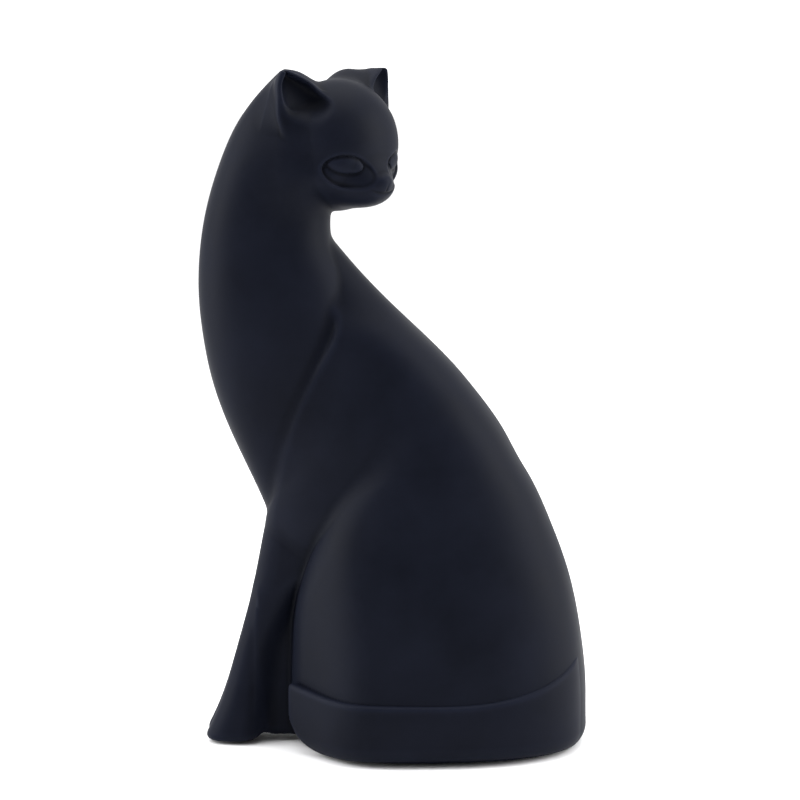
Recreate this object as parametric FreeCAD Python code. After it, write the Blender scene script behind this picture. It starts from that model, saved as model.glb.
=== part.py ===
import FreeCAD
import Part

import bisect
import math
import os

# Seated ceramic cat looking back over its left shoulder: a hollow slip-cast figurine on felt pads.
#
# The body, the head and the tail are cast in moulds of their own and luted together before firing. The body's
# pour opening is closed by a luted disc with a vent hole, and four felt pads under the base carry the figure.
#
# Frame: millimetres, +Z up, the chest towards -X, the back towards +X, the cat's left side towards -Y. The
# origin lies on the surface that the pads rest on, under the middle of the figure.
#
# Each casting is a closed skin, found by casting rays from a centre to where a sculpted field is zero. A field
# is negative inside the clay and reads as a depth in millimetres, so a cavity is the same skin one wall
# further in.

# ---------------------------------------------------------------- driving dimensions
FIGURE_HEIGHT = 240.0           # ceramic only, base to ear tips
FIGURE_LENGTH = 137.0           # paws to back
FIGURE_DEPTH = 92.0             # across the haunches
WALL = 5.0                      # slip-cast wall
FLOOR = 5.0                     # clay under the cavity
NECK_SEAM_HEIGHT = 189.0        # luted seam under the jaw
POUR_OPENING_RADIUS = 19.0      # hole in the base that the slip is drained through
POUR_DISC_THICKNESS = 4.0
VENT_RADIUS = 1.5
PAD_RADIUS = 6.0
PAW_PAD_RADIUS = 5.0
PAD_THICKNESS = 1.0
PAD_INSET = 13.0                # side and rear pads' centres to the outline of the base
TAIL_FLANK_HEIGHT = 21.5        # top edge of the tail along the flank
TAIL_ROOT_HEIGHT = 37.0         # and where it leaves the spine
TAIL_TIP_RELIEF = 3.2           # how far the tail stands out from the haunch at its tip
TAIL_FLANK_RELIEF = 1.4         # along the flank
TAIL_ROOT_RELIEF = 1.0          # and at the root
TAIL_BED_DEPTH = 2.2            # how deep it is let into the haunch
HEAD_TURN = 47.0                # degrees from straight out over the left flank, towards the back

# Outlines are drawn for a figure of these sizes and stretched to the three sizes above.
STRETCH_X = FIGURE_LENGTH / 137.0
STRETCH_Y = FIGURE_DEPTH / 92.0
STRETCH_Z = FIGURE_HEIGHT / 240.0
MIDDLE_X, MIDDLE_Y = 0.80, -0.81        # middle of the drawn figure's box, where the origin goes


# ---------------------------------------------------------------- curves and blends
class Profile:
    """A value that changes with height: a natural cubic through a few stations, straight beyond the ends."""

    def __init__(self, *stations):
        self.at = [s[0] for s in stations]
        self.value = [s[1] for s in stations]
        count = len(stations)
        step = [b - a for a, b in zip(self.at, self.at[1:])]
        rise = [(b - a) / h for a, b, h in zip(self.value, self.value[1:], step)]
        self.bend = [0.0] * count
        lower, right = [0.0] * count, [0.0] * count
        for i in range(1, count - 1):
            pivot = 2.0 * (step[i - 1] + step[i]) - step[i - 1] * lower[i - 1]
            lower[i] = step[i] / pivot
            right[i] = (6.0 * (rise[i] - rise[i - 1]) - step[i - 1] * right[i - 1]) / pivot
        for i in range(count - 2, 0, -1):
            self.bend[i] = right[i] - lower[i] * self.bend[i + 1]
        self.step, self.rise = step, rise

    def __call__(self, x):
        last = len(self.step) - 1
        i = min(max(bisect.bisect_right(self.at, x) - 1, 0), last)
        h, m0, m1 = self.step[i], self.bend[i], self.bend[i + 1]
        if x < self.at[0]:
            return self.value[0] + (x - self.at[0]) * (self.rise[0] - h * m1 / 6.0)
        if x > self.at[-1]:
            return self.value[-1] + (x - self.at[-1]) * (self.rise[-1] + h * m0 / 6.0)
        t = (x - self.at[i]) / h
        line = self.value[i] + t * (self.value[i + 1] - self.value[i])
        return line - h * h / 6.0 * t * (1.0 - t) * ((2.0 - t) * m0 + (1.0 + t) * m1)


def smooth_min(a, b, blend):
    overlap = max(blend - abs(a - b), 0.0) / blend
    return min(a, b) - overlap * overlap * blend / 4.0


def smooth_max(a, b, blend):
    return -smooth_min(-a, -b, blend)


def ellipse_depth(offsets, radii, power=2.0):
    """Distance outside a rounded box or ellipsoid, to first order: its level over the level's steepness."""
    terms = [(abs(offset) / radius) ** power for offset, radius in zip(offsets, radii)]
    total = max(sum(terms), 1e-12)
    level = total ** (1.0 / power)
    steep = 0.0
    for offset, radius in zip(offsets, radii):
        steep += ((abs(offset) / radius / level) ** (power - 1.0) / radius) ** 2
    return (level - 1.0) / math.sqrt(max(steep, 1e-9))


# ---------------------------------------------------------------- the outlines that shape the body
# Stations are (height, value); fronts and rears are x, half widths are y.
CHEST_FRONT = Profile((80, -43.5), (90, -47.7), (110, -56.8), (130, -64.0), (145, -67.0), (160, -68.5),
                      (175, -68.1), (190, -65.8), (210, -59.6), (222, -53.8), (232, -46.0), (240, -38.0))
CHEST_REAR = Profile((80, -20.0), (120, -14.0), (150, -13.0), (162, -14.5), (170, -17.0), (178, -21.0),
                     (190, -21.5), (205, -19.0))
CHEST_HALF_WIDTH = Profile((80, 9.0), (95, 14.0), (120, 20.5), (145, 23.5), (170, 22.5), (190, 20.5),
                           (205, 20.0), (215, 18.4), (225, 15.6), (235, 13.0))
LEG_FRONT = Profile((0, -68.0), (10, -63.4), (30, -57.1), (50, -51.6), (70, -47.1), (84, -43.9),
                    (100, -38.3), (122, -30.4), (143, -21.6), (154, -18.7), (170, -17.0), (190, -26.0))
LEG_REAR = Profile((0, -48.1), (20, -46.4), (38, -42.6), (50, -36.3), (57, -31.0), (66, -18.0), (80, -6.0),
                   (100, -6.0))
LEG_HALF_WIDTH = Profile((0, 13.0), (8, 12.7), (20, 11.6), (45, 11.2), (62, 11.8), (84, 13.2), (100, 10.0),
                         (120, 1.0))
TORSO_MIDDLE = Profile((70, 14.0), (100, 14.0), (120, 8.0), (140, -5.0), (160, -24.0), (180, -38.0),
                       (190, -40.0))
TORSO_FRONT = Profile((70, -48.5), (84, -48.8), (100, -46.0), (140, -47.5), (190, -56.0))
TORSO_REAR = Profile((70, 50.0), (84, 49.5), (100, 43.6), (110, 39.8), (120, 33.9), (135, 22.2), (150, 7.1),
                     (160, -3.2), (170, -12.6), (179, -19.6), (190, -21.6))
TORSO_HALF_WIDTH = Profile((70, 26.0), (84, 28.0), (100, 29.0), (110, 29.0), (120, 27.9), (140, 24.6),
                           (150, 21.8), (157, 17.8), (165, 15.2), (172, 14.2), (178, 14.5), (187, 17.5))
TORSO_CUT = Profile((70, -47.1), (84, -43.9), (100, -38.3), (122, -30.4), (143, -21.6), (152, -19.0),
                    (158, -21.0), (165, -28.0), (180, -42.0))
TORSO_CORNER = Profile((70, 5.0), (92, 2.0), (150, 1.6), (190, 3.0))
HAUNCH_FRONT = Profile((0, -35.3), (21, -35.9), (36, -35.5), (50, -34.2), (60, -31.4), (69, -26.2),
                       (79, -19.9), (91, -13.6), (106, -5.0), (120, 2.0), (134, 6.0))
HAUNCH_REAR = Profile((0, 70.4), (10, 70.1), (20, 70.0), (40, 67.9), (60, 63.7), (80, 56.4), (95, 49.3),
                      (106, 41.5), (118, 30.0), (134, 12.0))
HAUNCH_HALF_WIDTH = Profile((0, 44.6), (12, 46.0), (25, 45.6), (45, 43.5), (60, 41.4), (80, 37.4),
                            (94, 34.6), (106, 31.4), (118, 25.0), (134, 8.0))
HAUNCH_FACET = Profile((0, -20.0), (45, -21.0), (65, -18.5), (84, -14.0), (106, -6.0), (125, -10.0))
CREASE_BLEND = Profile((0, 2.0), (86, 2.0), (98, 7.5), (142, 8.0), (152, 6.0), (160, 2.0), (166, 0.8),
                       (190, 0.8))
FLANK_BLEND = Profile((0, 2.0), (84, 2.5), (96, 3.5), (108, 7.0), (118, 10.0), (134, 10.0))
BELLY_START, BELLY_RATE = 86.0, 0.020   # the belly draws in below this height
ARMPIT_HEIGHT, ARMPIT_SLOPE = 64.0, 1.2
BIB_FOOT = 80.0                 # height where the bib meets the forelegs
NAPE_START, NAPE_TOP = 200.0, 240.0     # the back of the neck closes as a dome between these heights
NAPE_LEAN_FROM, NAPE_LEAN = 212.0, 0.009  # and leans over to the near ear
HAUNCH_TOP = 130.0              # the haunches close above here
TORSO_TOP = 188.0
BASE_EDGE = 6.0                 # softened edge round the haunches' base
GROOVE_DEPTH, GROOVE_WIDTH = 3.0, 3.2   # between the forelegs


def base_inset(z, radius):
    """How far a softened lower edge draws the outline in at this height."""
    return 0.45 * radius * max(1.0 - z / radius, 0.0) ** 2


def chest_field(x, y, z):
    """Bib, neck and nape: a barrel that leans out over the forelegs and closes as a dome behind the head."""
    level = min(max(z, BIB_FOOT), NAPE_TOP)
    rise = min(max((level - NAPE_START) / (NAPE_TOP - NAPE_START), 0.0), 1.0)
    closing = math.sqrt(max(1.0 - rise ** 2.2, 0.0004))
    front = CHEST_FRONT(level)
    reach = 0.5 * (CHEST_REAR(level) - front) * closing
    aside = y + NAPE_LEAN * max(level - NAPE_LEAN_FROM, 0.0) ** 2
    barrel = ellipse_depth((x - front - reach, aside), (reach, CHEST_HALF_WIDTH(level) * closing), 2.5)
    return smooth_max(barrel + 0.8 * max(BIB_FOOT - z, 0.0), z - NAPE_TOP, 2.0)


def arris_field(x, y, z):
    """The front that legs and torso share, with the groove between the forelegs."""
    fade = min(max((76.0 - z) / 26.0, 0.0), 1.0) * min(max(z / 6.0 + 0.2, 0.0), 1.0)
    return LEG_FRONT(z) + GROOVE_DEPTH * math.exp(-((y / GROOVE_WIDTH) ** 2)) * fade - x


def leg_field(x, y, z):
    """Both forelegs as one slab that runs up into the breast."""
    flank = abs(y) - LEG_HALF_WIDTH(z) - 0.1 * (x - LEG_FRONT(z))
    ends = smooth_max(arris_field(x, y, z), x - LEG_REAR(z), 6.0)
    return smooth_max(flank, ends, 8.0) + base_inset(z, 3.0) + 0.5 * max(z - 100.0, 0.0)


def torso_field(x, y, z):
    """Shoulders and back: an egg cut off in front along the crisp arris of the breast."""
    level = max(z, 70.0)
    middle = TORSO_MIDDLE(level)
    reach = TORSO_REAR(level) - middle if x > middle else middle - TORSO_FRONT(level)
    egg = ellipse_depth((x - middle, y), (reach, TORSO_HALF_WIDTH(level)), 2.3)
    belly = BELLY_RATE * max(BELLY_START - z, 0.0) ** 2
    cut = TORSO_CUT(level) - x if z > 84.0 else arris_field(x, y, z)
    return smooth_max(egg, cut, TORSO_CORNER(level)) + belly + max(z - TORSO_TOP, 0.0)


def haunch_field(x, y, z):
    """The haunches: a broad egg cut by a facet towards the forelegs, sinking into the torso above."""
    level = min(z, HAUNCH_TOP)
    front, rear, half = HAUNCH_FRONT(level), HAUNCH_REAR(level), HAUNCH_HALF_WIDTH(level)
    middle = 0.5 * (rear + front) - 0.10 * (rear - front)
    reach = rear - middle if x > middle else max(middle - front, 1.0) * 1.16
    egg = ellipse_depth((x - middle, y), (reach, half), 2.5)
    facet = -0.79 * (x - HAUNCH_FACET(level)) + 0.61 * (abs(y) - 0.82 * half)
    cut = smooth_max(front - x, facet, 6.0)
    return smooth_max(egg, cut, 9.0) + base_inset(z, BASE_EDGE) + (z - level)


def body_field(x, y, z):
    """Everything but the forelegs below the elbow, which stand clear of the haunches."""
    rear = smooth_min(torso_field(x, y, z), leg_field(x, y, z), 2.0)
    front = smooth_min(chest_field(x, y, z), rear, max(CREASE_BLEND(z), 0.8))
    clear = ARMPIT_SLOPE * max(ARMPIT_HEIGHT - z, 0.0)
    return smooth_min(front + clear, haunch_field(x, y, z), max(FLANK_BLEND(z), 2.0))


# ---------------------------------------------------------------- the head
TURN = math.radians(HEAD_TURN)
FACING = (math.sin(TURN), -math.cos(TURN))          # the way the face looks
ASIDE = (-math.cos(TURN), -math.sin(TURN))          # towards the ear over the left flank
HEAD_AXIS = (-20.7, 0.0)                            # the skull stands over this line
HEAD_CENTRE = (-33.0, -3.0, 208.0)                  # rays for the head's skin start here
HEAD_ROLL = 0.03                                    # the far ear stands a little higher
SKULL = ((1.5, 0.0, 212.0), (21.0, 23.0, 24.4))     # middle and half sizes: forward, aside, up
CHEEK = ((6.0, 0.0, 202.8), (13.5, 22.0, 10.4))
MUZZLE = ((15.6, 0.0, 200.0), (9.2, 9.8, 7.3))
EAR_TURN = math.radians(20.0)                       # each ear looks this much outwards
EAR_AT = (3.3, 18.0)                                # middle of the ears' feet: forward, aside
EAR_OUT = Profile((208, -6.0), (214, -3.0), (220, -0.6), (225, 0.2), (230, 0.6), (233, 1.8), (236, 3.5),
                  (238, 4.9), (240.6, 7.2))
EAR_HALF_WIDTH = Profile((208, 6.0), (214, 7.6), (220, 9.4), (225, 10.0), (230, 9.6), (233, 8.4),
                         (236, 6.6), (238, 4.7), (240.6, 1.3))
EAR_REAR = Profile((208, 12.0), (222, 12.5), (229, 11.0), (234, 9.0), (237, 6.8), (239, 4.4), (240.6, 2.4))
EAR_FRONT = Profile((208, 4.0), (229, 2.6), (237, 2.0), (240.6, 1.2))
CUP_OUT = Profile((218, 6.6), (221, 5.0), (224, 2.8), (227, 1.2), (230, 0.9), (233, 2.0), (236, 3.7),
                  (239.4, 6.3))
CUP_HALF_WIDTH = Profile((218, 0.5), (221, 2.8), (224, 5.4), (227, 7.4), (230, 8.0), (233, 7.0), (236, 5.0),
                         (239.4, 0.8))
CUP_AT = Profile((218, 9.5), (224, 6.5), (230, 4.4), (236, 3.4), (240, 3.4))
CUP_HALF_DEPTH = 7.6
EAR_HEIGHTS = (212, 216, 220, 224, 228, 231, 233.5, 235.5, 237.5, 239, 240)
CUP_HEIGHTS = (219, 220.5, 222.5, 225, 227.5, 230, 232, 234, 236, 237.5, 239)
POINTS_ROUND_EAR = 32


def head_place(x, y, z):
    """The point seen from the head: how far forward, aside and up."""
    east, north = x - HEAD_AXIS[0], y - HEAD_AXIS[1]
    aside = east * ASIDE[0] + north * ASIDE[1]
    return east * FACING[0] + north * FACING[1], aside, z + HEAD_ROLL * aside


def lump(place, shape):
    middle, radii = shape
    return ellipse_depth([p - m for p, m in zip(place, middle)], radii)


def head_field(x, y, z):
    """Skull, cheeks and muzzle, melting into the nape."""
    place = head_place(x, y, z)
    face = smooth_min(smooth_min(lump(place, SKULL), lump(place, CHEEK), 4.0), lump(place, MUZZLE), 5.0)
    melt = min(max((-18.0 - x) / 22.0, 0.0), 1.0)
    return smooth_min(face, chest_field(x, y, z), 1.2 + 12.8 * melt * melt * (3.0 - 2.0 * melt))


def ear_ring(side, z, ahead, out, front, rear, half_width):
    """Points round a level section of an ear or of the dish in it, drawn in the ear's own directions."""
    c, s = math.cos(EAR_TURN), math.sin(EAR_TURN)
    ring = []
    for i in range(POINTS_ROUND_EAR):
        angle = 2.0 * math.pi * i / POINTS_ROUND_EAR
        along, across = math.cos(angle), math.sin(angle)
        a = ahead + math.copysign(abs(along) ** 0.91, along) * (front if along > 0.0 else rear)
        o = out + math.copysign(abs(across) ** 0.91, across) * half_width
        forward, aside = EAR_AT[0] + a * c - o * s, side * (EAR_AT[1] + a * s + o * c)
        ring.append((HEAD_AXIS[0] + forward * FACING[0] + aside * ASIDE[0],
                     HEAD_AXIS[1] + forward * FACING[1] + aside * ASIDE[1], float(z)))
    return ring


def ear_solid(side):
    rings = []
    for z in EAR_HEIGHTS:
        up = z + HEAD_ROLL * side * EAR_AT[1]
        rings.append(ear_ring(side, z, 0.0, EAR_OUT(up), EAR_FRONT(up), EAR_REAR(up), EAR_HALF_WIDTH(up)))
    return closed_skin(rings)


def cup_solid(side):
    """The dish that hollows an ear from the front."""
    rings = []
    for z in CUP_HEIGHTS:
        up = z + HEAD_ROLL * side * EAR_AT[1]
        rings.append(ear_ring(side, z, CUP_AT(up), CUP_OUT(up), CUP_HALF_DEPTH, CUP_HALF_DEPTH,
                              max(CUP_HALF_WIDTH(up), 0.5)))
    return closed_skin(rings)


# ---------------------------------------------------------------- skins
def cast_ray(field, start, direction, level, reach):
    """Distance from start to where the field first climbs to this level."""
    def clay(distance):
        return field(*(s + d * distance for s, d in zip(start, direction))) - level

    step = reach / 40.0
    inner = 0.0
    while inner < reach and clay(inner + step) < 0.0:
        inner += step
    outer = inner + step
    for _ in range(16):
        middle = 0.5 * (inner + outer)
        if clay(middle) < 0.0:
            inner = middle
        else:
            outer = middle
    return 0.5 * (inner + outer)


def level_ring(field, centre_x, z, level, count, seam_angle):
    """Points round a level section of the skin, counter-clockwise; the surface's seam lies at the first."""
    ring = []
    for i in range(count):
        angle = seam_angle + 2.0 * math.pi * i / count
        east, north = math.cos(angle), math.sin(angle)
        distance = cast_ray(field, (centre_x, 0.0, z), (east, north, 0.0), level, 110.0)
        ring.append((centre_x + east * distance, north * distance, z))
    return ring


def dome_rings(field, centre, level, count, bands, lowest):
    """Points round a skin seen from one centre: rings from the lowest tilt up to the point overhead."""
    rings = []
    for band in range(bands + 1):
        tilt = math.radians(lowest + (90.0 - lowest) * band / bands)
        ring = []
        for i in range(count):
            angle = 2.0 * math.pi * i / count
            aim = (math.cos(angle) * math.cos(tilt), math.sin(angle) * math.cos(tilt), math.sin(tilt))
            distance = cast_ray(field, centre, aim, level, 80.0)
            ring.append(tuple(c + a * distance for c, a in zip(centre, aim)))
        rings.append(ring)
    return rings


def stretched(point):
    """A drawn point in the finished figure's frame, standing on its pads."""
    x, y, z = point
    return FreeCAD.Vector((x - MIDDLE_X) * STRETCH_X, (y - MIDDLE_Y) * STRETCH_Y,
                          z * STRETCH_Z + PAD_THICKNESS)


def skin_surface(rings):
    """A smooth surface through rings of points, periodic round the rings.

    The control points start on the rings and are moved by what the surface misses them by until it meets them.
    """
    target = [[stretched(point) for point in ring] for ring in rings]
    around, along = len(target[0]), len(target)
    knots_along = list(range(along - 2))
    flat = [0, 0] + knots_along + [along - 3] * 2
    meets = [sum(flat[j:j + 3]) / 3.0 for j in range(along)]
    poles = [[target[j][i] for j in range(along)] for i in range(around)]
    surface = Part.BSplineSurface()
    ends = [4] + [1] * (along - 4) + [4]
    for _ in range(9):
        surface.buildFromPolesMultsKnots(poles, [1] * (around + 1), ends, list(range(around + 1)),
                                         knots_along, True, False, 3, 3)
        for i in range(around):
            for j in range(along):
                poles[i][j] = poles[i][j] + target[j][i] - surface.value((i - 1.0) % around, meets[j])
    return surface


def solid_inside(faces):
    shell = Part.makeShell(faces)
    if len(faces) > 1:
        shell.sewShape()
    solid = Part.makeSolid(shell)
    if solid.Volume < 0.0:
        solid.reverse()
    return solid


def closed_skin(rings):
    """The solid inside a skin; ends that aren't points are closed by flat caps."""
    side = skin_surface(rings).toShape()
    faces = [side]
    for edge in side.Edges:
        low, high = edge.BoundBox.ZMin, edge.BoundBox.ZMax
        if edge.isClosed() and high - low < 1e-4 and edge.Length > 1.0:
            faces.append(Part.Face(Part.Wire([edge])))
    return solid_inside(faces)


# ---------------------------------------------------------------- where the skins are sampled
BODY_AXIS = Profile((0, 16.0), (60, 16.0), (84, 4.0), (110, -6.0), (130, -16.0), (150, -28.0), (170, -40.0),
                    (190, -43.5))
BODY_HEIGHTS = (0, 1.5, 3.5, 6, 10, 15, 21, 28, 36, 43, 49, 54, 58, 61, 64, 67, 71, 76, 80, 84, 89, 95, 101,
                108, 115, 122, 129, 136, 143, 149, 154, 159, 164, 169, 174, 179, 184, NECK_SEAM_HEIGHT)
CAVITY_HEIGHTS = (FLOOR, 8, 14, 22, 32, 42, 52, 60, 67, 74, 82, 90, 100, 110, 120, 130, 140, 150, 160, 170,
                  180, NECK_SEAM_HEIGHT + 2.0)
LEG_AXIS = Profile((0, -57.0), (20, -53.0), (40, -48.0), (60, -39.0), (80, -32.0))
LEG_SINKING = Profile((0, 0.0), (56, 0.0), (62, -0.6), (70, -3.0), (80, -5.0))  # they run up into the chest
LEG_HEIGHTS = (0, 1.5, 3.5, 6, 10, 15, 21, 28, 36, 43, 49, 54, 58, 62, 66, 70, 75)
POINTS_AROUND, POINTS_ROUND_LEG = 96, 48
WEB_AT, WEB_RADIUS = -41.0, 6.3  # round post of clay that closes the gap between forelegs and haunches
WEB_FOOT, WEB_TOP = 2.0, 56.0
TAIL_AXIS = (16.0, 0.0)         # the tail's stations are angles about this line
TAIL_TIP_ANGLE, TAIL_ROOT_ANGLE = 203.5, 346.0
TAIL_STATIONS = 30
TAIL_BED_OVERRUN = 3.0


def slab(low, high):
    """A level layer of space wider than the figure."""
    side = 2.0 * FIGURE_HEIGHT
    return Part.makeBox(side, side, high - low, FreeCAD.Vector(-0.5 * side, -0.5 * side, low))


def body_solid(level, heights):
    return closed_skin([level_ring(body_field, BODY_AXIS(z), z, level, POINTS_AROUND, 0.0) for z in heights])


def leg_solid():
    return closed_skin([level_ring(leg_field, LEG_AXIS(z), z, min(LEG_SINKING(z), 0.0), POINTS_ROUND_LEG,
                                   math.pi) for z in LEG_HEIGHTS])


TAIL_TOP_CURVE = Profile((0.0, TAIL_FLANK_HEIGHT + 2.5), (0.12, TAIL_FLANK_HEIGHT + 1.0),
                         (0.4, TAIL_FLANK_HEIGHT), (0.66, TAIL_FLANK_HEIGHT + 1.0),
                         (0.82, TAIL_FLANK_HEIGHT + 5.5), (1.0, TAIL_ROOT_HEIGHT))
TAIL_RELIEF_CURVE = Profile((0.0, TAIL_TIP_RELIEF), (0.2, 0.7 * TAIL_TIP_RELIEF), (0.45, TAIL_FLANK_RELIEF),
                            (1.0, TAIL_ROOT_RELIEF))
TAIL_FOOT_CURVE = Profile((0.0, 13.0), (0.03, 6.0), (0.07, 1.5), (0.11, 0.0), (0.2, 0.0), (1.0, 0.0))


def tail_section(share, below):
    """The tail's outline at one station: up its outer face, over the top, down the face in its bed."""
    angle = math.radians(TAIL_TIP_ANGLE + share * (TAIL_ROOT_ANGLE - TAIL_TIP_ANGLE))
    aim = (math.cos(angle), math.sin(angle), 0.0)
    top, foot = TAIL_TOP_CURVE(share), max(TAIL_FOOT_CURVE(share), 0.0)
    relief, tall = TAIL_RELIEF_CURVE(share), top - foot
    outline = [(foot, relief - 0.3), (foot + 0.12 * tall, relief), (foot + 0.35 * tall, relief),
               (foot + 0.6 * tall, relief), (foot + 0.82 * tall, relief), (top - 1.2, 0.8 * relief),
               (top, 0.2 * relief - 0.3), (top - 0.6, -TAIL_BED_DEPTH), (foot + 0.5 * tall, -TAIL_BED_DEPTH),
               (foot, -TAIL_BED_DEPTH)]
    points = []
    for z, level in outline:
        distance = cast_ray(haunch_field, (TAIL_AXIS[0], TAIL_AXIS[1], z), aim, level, 90.0)
        points.append((TAIL_AXIS[0] + aim[0] * distance, TAIL_AXIS[1] + aim[1] * distance, z))
    if below:
        first, last = points[0], points[-1]
        points = [(first[0], first[1], first[2] - below)] + points + [(last[0], last[1], last[2] - below)]
    points = [stretched(point) for point in points]
    return Part.makePolygon(points + points[:1])


def tail_solid(below=0.0):
    """The tail, or with some depth below it the tool that cuts its bed."""
    shares = [(station / (TAIL_STATIONS - 1.0)) ** 1.3 for station in range(TAIL_STATIONS)]
    return Part.makeLoft([tail_section(share, below) for share in shares], True, False)


def make_body():
    clay = body_solid(0.0, BODY_HEIGHTS).fuse(leg_solid())
    clay = clay.fuse(Part.makeCylinder(WEB_RADIUS * STRETCH_X, (WEB_TOP - WEB_FOOT) * STRETCH_Z,
                                       stretched((WEB_AT, 0.0, WEB_FOOT))))
    clay = clay.cut(body_solid(-WALL, CAVITY_HEIGHTS))
    opening = Part.makeCylinder(POUR_OPENING_RADIUS, FLOOR + PAD_THICKNESS + 1.0,
                                stretched((TAIL_AXIS[0], 0.0, 0.0)) - FreeCAD.Vector(0, 0, PAD_THICKNESS))
    return clay.cut(opening).cut(tail_solid(TAIL_BED_OVERRUN))


def make_base_disc():
    middle = stretched((TAIL_AXIS[0], 0.0, 0.0))
    disc = Part.makeCylinder(POUR_OPENING_RADIUS, POUR_DISC_THICKNESS, middle)
    return disc.cut(Part.makeCylinder(VENT_RADIUS, POUR_DISC_THICKNESS, middle))


def head_solid(level, seam_height):
    """The head's skin, cut level at the seam; its neck is drawn on below so the rays close."""
    def field(x, y, z):
        return smooth_max(head_field(x, y, z), seam_height - 6.0 - z, 1.0)

    skin = closed_skin(dome_rings(field, HEAD_CENTRE, level, 72, 40, -90.0))
    return skin.common(slab(stretched((0, 0, seam_height)).z, 2.0 * FIGURE_HEIGHT))


def make_head():
    clay = head_solid(0.0, NECK_SEAM_HEIGHT)
    for side in (1.0, -1.0):
        clay = clay.fuse(ear_solid(side))
    for side in (1.0, -1.0):
        clay = clay.cut(cup_solid(side))
    return clay.cut(head_solid(-WALL, NECK_SEAM_HEIGHT - 1.0))


def make_pads():
    """Felt discs under both paws, both haunches and the back of the base."""
    side_at = HAUNCH_HALF_WIDTH(0) - PAD_INSET
    rear_at = HAUNCH_REAR(0) - PAD_INSET
    spots = {
        "pad_paws": (-57.0, 0.0, PAW_PAD_RADIUS),
        "pad_left": (TAIL_AXIS[0], -side_at, PAD_RADIUS),
        "pad_right": (TAIL_AXIS[0], side_at, PAD_RADIUS),
        "pad_rear": (rear_at, 0.0, PAD_RADIUS),
    }
    below = FreeCAD.Vector(0, 0, -PAD_THICKNESS)
    return {name: Part.makeCylinder(radius, PAD_THICKNESS, stretched((x, y, 0.0)) + below)
            for name, (x, y, radius) in spots.items()}


def make_nodes():
    nodes = {"body_casting": make_body(), "head_casting": make_head(), "tail_casting": tail_solid(),
             "base_disc": make_base_disc()}
    nodes.update(make_pads())
    return nodes


os.makedirs("parts", exist_ok=True)
for name, shape in make_nodes().items():
    shape.exportStep("parts/" + name + ".step")
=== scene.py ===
"""Looks of the seated ceramic cat: glazed castings on felt pads, standing in a soft studio.

The three castings are drawn from sculpted fields, each negative inside the clay and read as a depth in
millimetres. A field's zero is turned into a mesh, and its slope gives the glaze its smooth normals.
"""
import logging
import math
from dataclasses import dataclass
from enum import Enum

import bmesh
import bpy
import numpy as np
from bpy.types import ID, Material, Mesh, Node, NodeSocket, Object
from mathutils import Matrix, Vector

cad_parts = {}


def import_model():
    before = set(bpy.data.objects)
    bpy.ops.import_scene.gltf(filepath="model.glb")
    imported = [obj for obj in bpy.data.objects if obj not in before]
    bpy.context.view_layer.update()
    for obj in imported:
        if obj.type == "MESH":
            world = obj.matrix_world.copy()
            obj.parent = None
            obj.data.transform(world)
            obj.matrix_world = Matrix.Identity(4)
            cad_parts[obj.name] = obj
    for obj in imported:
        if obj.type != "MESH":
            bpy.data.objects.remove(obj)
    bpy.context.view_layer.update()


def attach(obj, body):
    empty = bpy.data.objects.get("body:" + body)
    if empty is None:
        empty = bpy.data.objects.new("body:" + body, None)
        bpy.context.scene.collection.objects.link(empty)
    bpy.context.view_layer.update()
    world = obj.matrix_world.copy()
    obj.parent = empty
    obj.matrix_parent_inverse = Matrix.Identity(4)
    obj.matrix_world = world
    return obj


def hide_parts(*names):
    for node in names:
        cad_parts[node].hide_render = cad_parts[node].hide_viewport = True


Array = np.ndarray
LOG = logging.getLogger("cat")
MM = 0.001
TINY = 1e-9  # keeps divisions off zero
SLOPE_REACH = 0.05  # millimetres either way, for the fields' slopes

PAD_THICKNESS = 1.0  # the ceramic stands this far above the table
MIDDLE_X, MIDDLE_Y = 0.80, -0.81  # middle of the drawn figure's box, where the frame's origin is
FRAME_SHIFT = np.array([-MIDDLE_X, -MIDDLE_Y, PAD_THICKNESS])
NECK_SEAM_HEIGHT = 189.0  # level seam between head and body, above the ceramic's base


# ---------------------------------------------------------------- curves and blends
class Profile:
    """A value that changes with height: a natural cubic through a few stations, straight beyond the ends."""

    def __init__(self, *stations: tuple[float, float]) -> None:
        """Solve the cubic's bends.

        Args:
            stations: (height, value) pairs, from the lowest up.
        """
        at, value = (np.array(column, dtype=float) for column in zip(*stations))
        step = np.diff(at)
        rise = np.diff(value) / step
        count = len(at)
        system = np.eye(count)
        known = np.zeros(count)
        inner = np.arange(1, count - 1)
        system[inner, inner - 1] = step[:-1]
        system[inner, inner] = 2.0 * (step[:-1] + step[1:])
        system[inner, inner + 1] = step[1:]
        known[inner] = 6.0 * np.diff(rise)
        self.at, self.value, self.step, self.rise = at, value, step, rise
        self.bend = np.linalg.solve(system, known)

    def __call__(self, x: Array) -> Array:
        """Return the value at each position."""
        x = np.asarray(x, dtype=float)
        i = np.clip(np.searchsorted(self.at, x, side="right") - 1, 0, len(self.step) - 1)
        h, m0, m1 = self.step[i], self.bend[i], self.bend[i + 1]
        t = (x - self.at[i]) / h
        line = self.value[i] + t * (self.value[i + 1] - self.value[i])
        cubic = line - h * h / 6.0 * t * (1.0 - t) * ((2.0 - t) * m0 + (1.0 + t) * m1)
        before = self.value[0] + (x - self.at[0]) * (self.rise[0] - self.step[0] * self.bend[1] / 6.0)
        after = self.value[-1] + (x - self.at[-1]) * (self.rise[-1] + self.step[-1] * self.bend[-2] / 6.0)
        return np.where(x < self.at[0], before, np.where(x > self.at[-1], after, cubic))


def smooth_min(a: Array, b: Array, blend: Array) -> Array:
    """Union of two fields, filleted over the blend width."""
    overlap = np.maximum(blend - np.abs(a - b), 0.0) / blend
    return np.minimum(a, b) - overlap * overlap * blend / 4.0


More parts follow.
